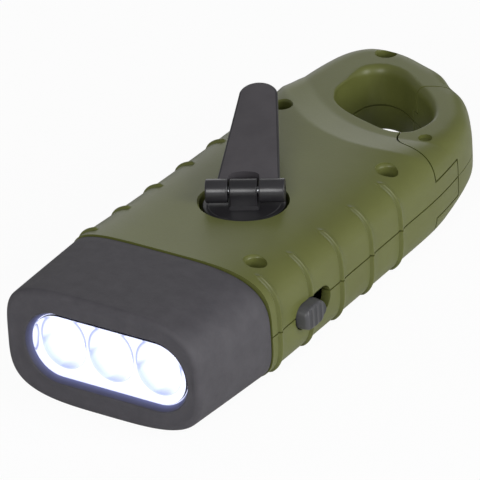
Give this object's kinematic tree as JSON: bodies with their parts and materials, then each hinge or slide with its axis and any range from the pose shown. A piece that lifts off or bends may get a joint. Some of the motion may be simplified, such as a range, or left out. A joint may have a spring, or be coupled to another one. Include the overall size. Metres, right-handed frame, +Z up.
{
  "type": "hand crank flashlight",
  "caption": "Pocket torch with a folding crank on top, a slide switch, a wide lamp head and a ring with a sprung gate at its tail.",
  "frame": {"origin": "on the flat underside, on the centreline, below the first grip rib behind the lamp head", "axes": "+Y from the lamp to the ring, +Z up through the crank side, +X towards the slide switch"},
  "size_m": [0.052, 0.1343, 0.035],
  "materials": {
    "olive_plastic": "satin moulded plastic",
    "dark_rubber": "matte soft rubber",
    "arm_plastic": "matte moulded plastic",
    "black_plastic": "semi-gloss moulded plastic",
    "switch_plastic": "satin moulded plastic",
    "clear_plastic": "clear polished plastic",
    "chromed_plastic": "vacuum-metallised mirror",
    "led_resin": "clear cast resin",
    "wire_cover": "insulated lead",
    "board_laminate": "solder-masked laminate",
    "gear_plastic": "natural acetal",
    "steel": "bright plated",
    "magnet_metal": "dark sintered metal",
    "copper_wire": "enamelled copper winding",
    "cell_wrap": "shrink-wrapped cells"
  },
  "bodies": {
    "body": {"top_shell": "olive_plastic", "bottom_shell": "olive_plastic", "head_bezel": "dark_rubber", "lens": "clear_plastic", "reflector": "chromed_plastic", "led_left": "led_resin", "led_middle": "led_resin", "led_right": "led_resin", "led_board": "board_laminate", "crank_bushing": "gear_plastic", "second_gear_axle": "steel", "third_gear_axle": "steel", "stator_core": "magnet_metal", "generator_coil": "copper_wire", "gear_plate": "gear_plastic", "plate_screw_front_left": "steel", "plate_screw_front_right": "steel", "plate_screw_side": "steel", "plate_screw_rear": "steel", "battery_pack": "cell_wrap", "main_board": "board_laminate", "switch_body": "black_plastic", "lamp_wire": "wire_cover", "battery_wire": "wire_cover", "coil_wire": "wire_cover", "gate_pin": "steel", "gate_spring": "steel", "case_screw_front": "steel", "case_screw_rear_right": "steel", "case_screw_rear_left": "steel", "case_screw_ring": "steel"},
    "crank": {"crank_disc": "black_plastic", "hinge_pin": "steel", "drive_gear": "gear_plastic", "crank_clip": "steel"},
    "arm": {"crank_arm": "arm_plastic", "knob_screw": "steel"},
    "knob": {"crank_knob": "black_plastic"},
    "second_wheel": {"second_gear": "gear_plastic"},
    "third_wheel": {"third_gear": "gear_plastic"},
    "rotor": {"rotor_magnet": "magnet_metal", "rotor_shaft": "steel", "rotor_pinion": "gear_plastic"},
    "gate": {"gate_upper": "olive_plastic", "gate_lower": "olive_plastic"},
    "switch": {"switch_knob": "switch_plastic"}
  },
  "joints": [
    {"name": "crank_spin", "type": "hinge", "parent": "body", "child": "crank", "pos_m": [0, 0.0248, 0.0212], "axis": [0, 0, 1], "continuous": true},
    {"name": "crank_fold", "type": "hinge", "parent": "crank", "child": "arm", "pos_m": [0, 0.0248, 0.02605], "axis": [0.8763, 0.4818, 0], "range_deg": [0, 154]},
    {"name": "knob_spin", "type": "hinge", "parent": "arm", "child": "knob", "pos_m": [-0.01235, 0.05037, 0.03259], "axis": [0.1083, -0.1971, 0.9744], "continuous": true},
    {"name": "second_gear_spin", "type": "hinge", "parent": "body", "child": "second_wheel", "pos_m": [0.00785, 0.03758, 0.01], "axis": [0, 0, 1], "continuous": true},
    {"name": "third_gear_spin", "type": "hinge", "parent": "body", "child": "third_wheel", "pos_m": [-0.00579, 0.03967, 0.0075], "axis": [0, 0, 1], "continuous": true},
    {"name": "rotor_spin", "type": "hinge", "parent": "body", "child": "rotor", "pos_m": [-0.00986, 0.05159, 0.012], "axis": [0, 0, 1], "continuous": true},
    {"name": "gate_swing", "type": "hinge", "parent": "body", "child": "gate", "pos_m": [0.016, 0.0704, 0.0118], "axis": [0, 0, 1], "range_deg": [0, 25], "stiffness_Nm_per_rad": 0.02, "springref_deg": -17.19},
    {"name": "switch_slide", "type": "slide", "parent": "body", "child": "switch", "axis": [0, 1, 0], "range_m": [0, 0.0044]}
  ],
  "couplings": [
    {"joint": "second_gear_spin", "follows": "crank_spin", "ratio": -4},
    {"joint": "third_gear_spin", "follows": "crank_spin", "ratio": 14.4},
    {"joint": "rotor_spin", "follows": "crank_spin", "ratio": -46.08}
  ]
}
